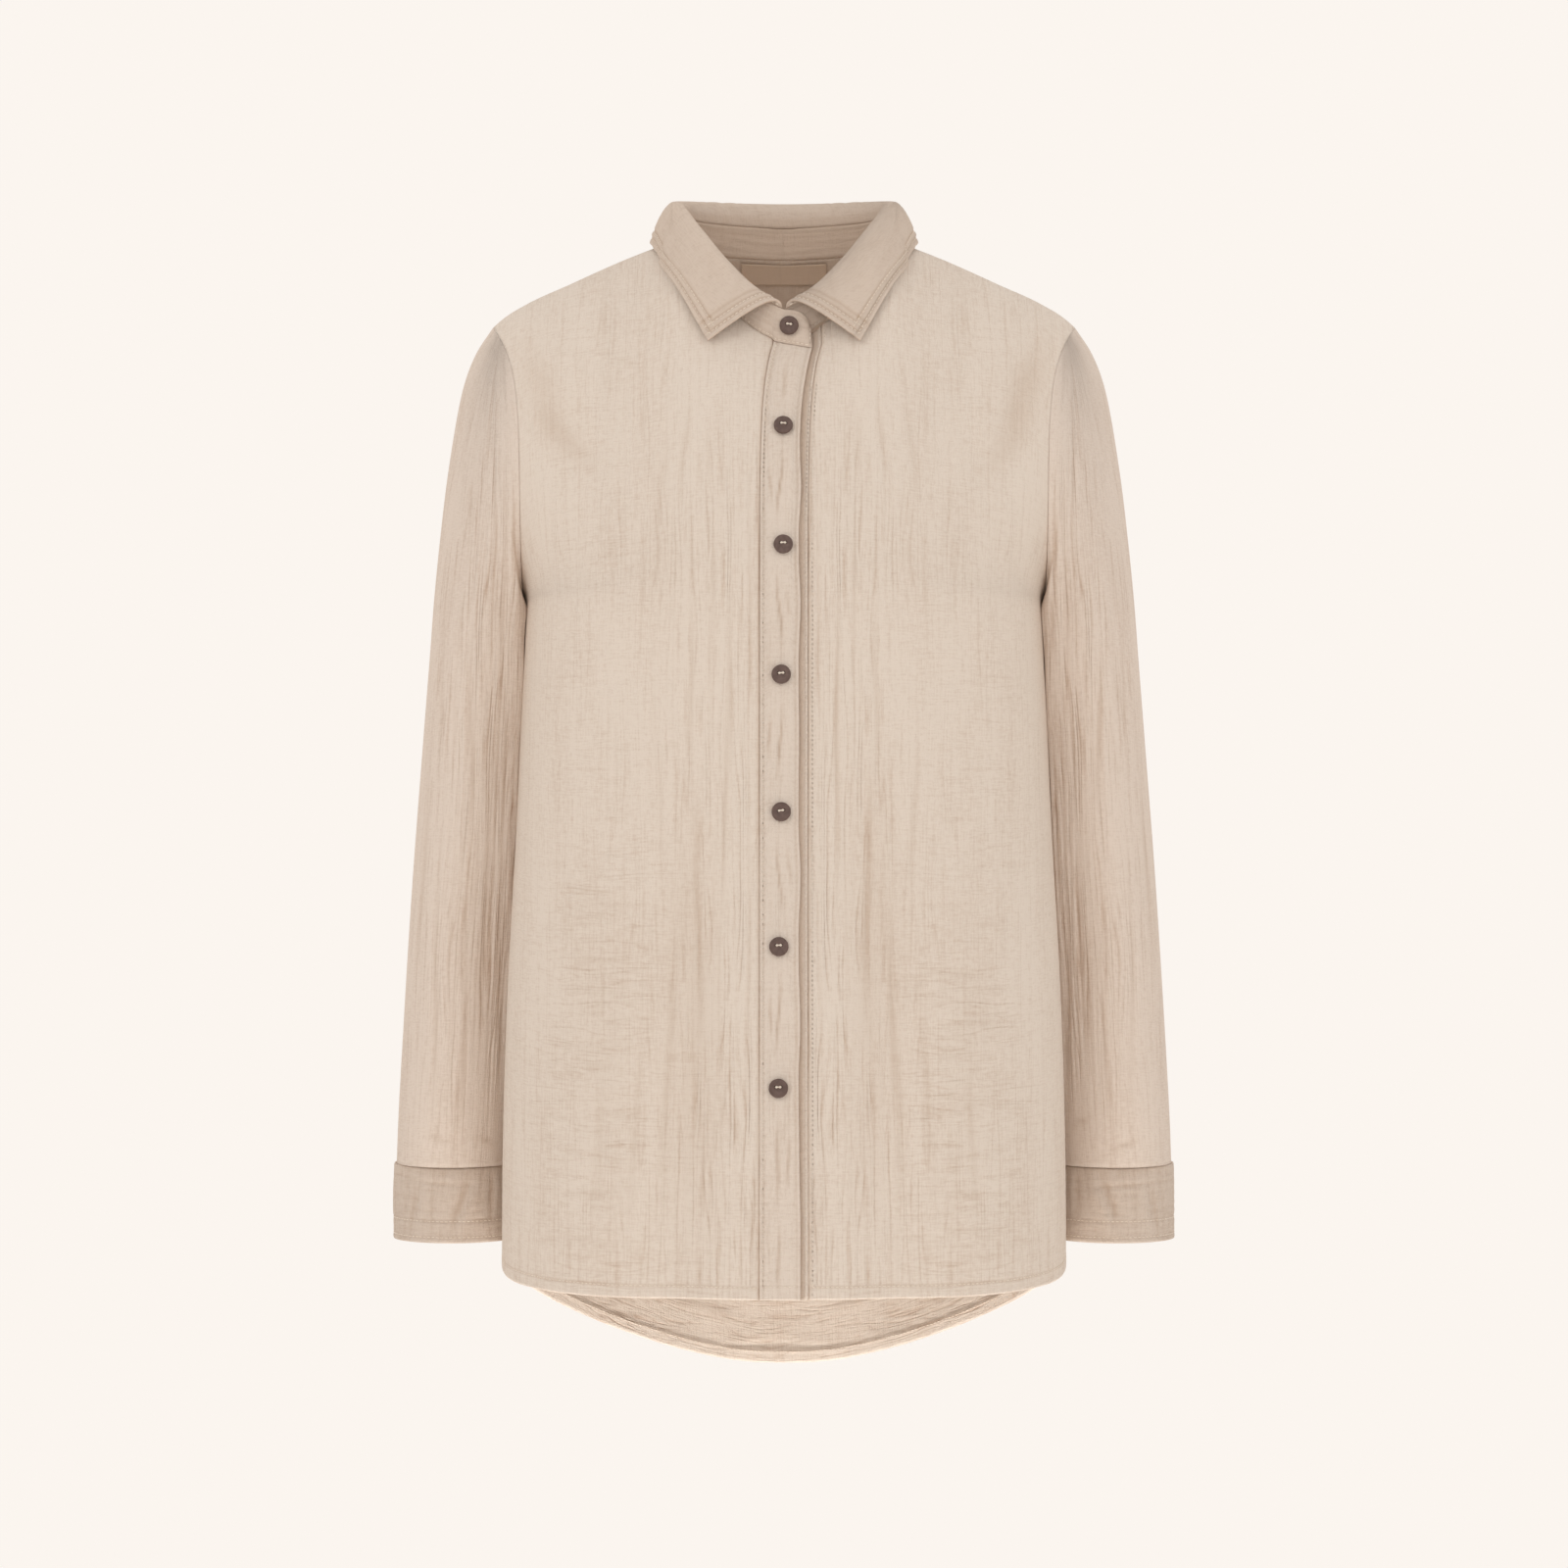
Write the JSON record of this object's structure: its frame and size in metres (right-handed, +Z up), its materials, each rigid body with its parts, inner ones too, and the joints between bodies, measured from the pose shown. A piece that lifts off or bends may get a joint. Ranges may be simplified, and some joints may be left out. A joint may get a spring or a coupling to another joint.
{
  "type": "muslin blouse",
  "caption": "Long-sleeved crinkled-cotton blouse with a turned-down collar, buttoned front, plain cuffs and a longer rounded back hem.",
  "frame": {"origin": "middle of the line between the high points of the shoulders, where the blouse rests on its wearer", "axes": "+X to the wearer's left, -Y to the front, +Z up"},
  "size_m": [0.542, 0.268, 0.8162],
  "materials": {
    "front": "matt crinkled double gauze, undyed pale beige",
    "back": "matt crinkled double gauze, undyed pale beige",
    "sleeve": "matt crinkled double gauze, undyed pale beige",
    "cuff": "matt crinkled double gauze, undyed pale beige, two layers",
    "collar": "matt crinkled double gauze, undyed pale beige, two layers",
    "band": "matt crinkled double gauze, undyed pale beige, two layers",
    "label": "matt woven tape, blank",
    "button": "dark brown, mottled, low sheen"
  },
  "bodies": {
    "root": {"front_right": "front", "front_left": "front", "back": "back", "sleeve_right": "sleeve", "sleeve_left": "sleeve", "cuff_right": "cuff", "cuff_left": "cuff", "collar_stand": "collar", "collar_fall": "collar", "buttonhole_band": "band", "button_band": "band", "label": "label", "button_1": "button", "button_2": "button", "button_3": "button", "button_4": "button", "button_5": "button", "button_6": "button", "button_7": "button"}
  },
  "joints": []
}
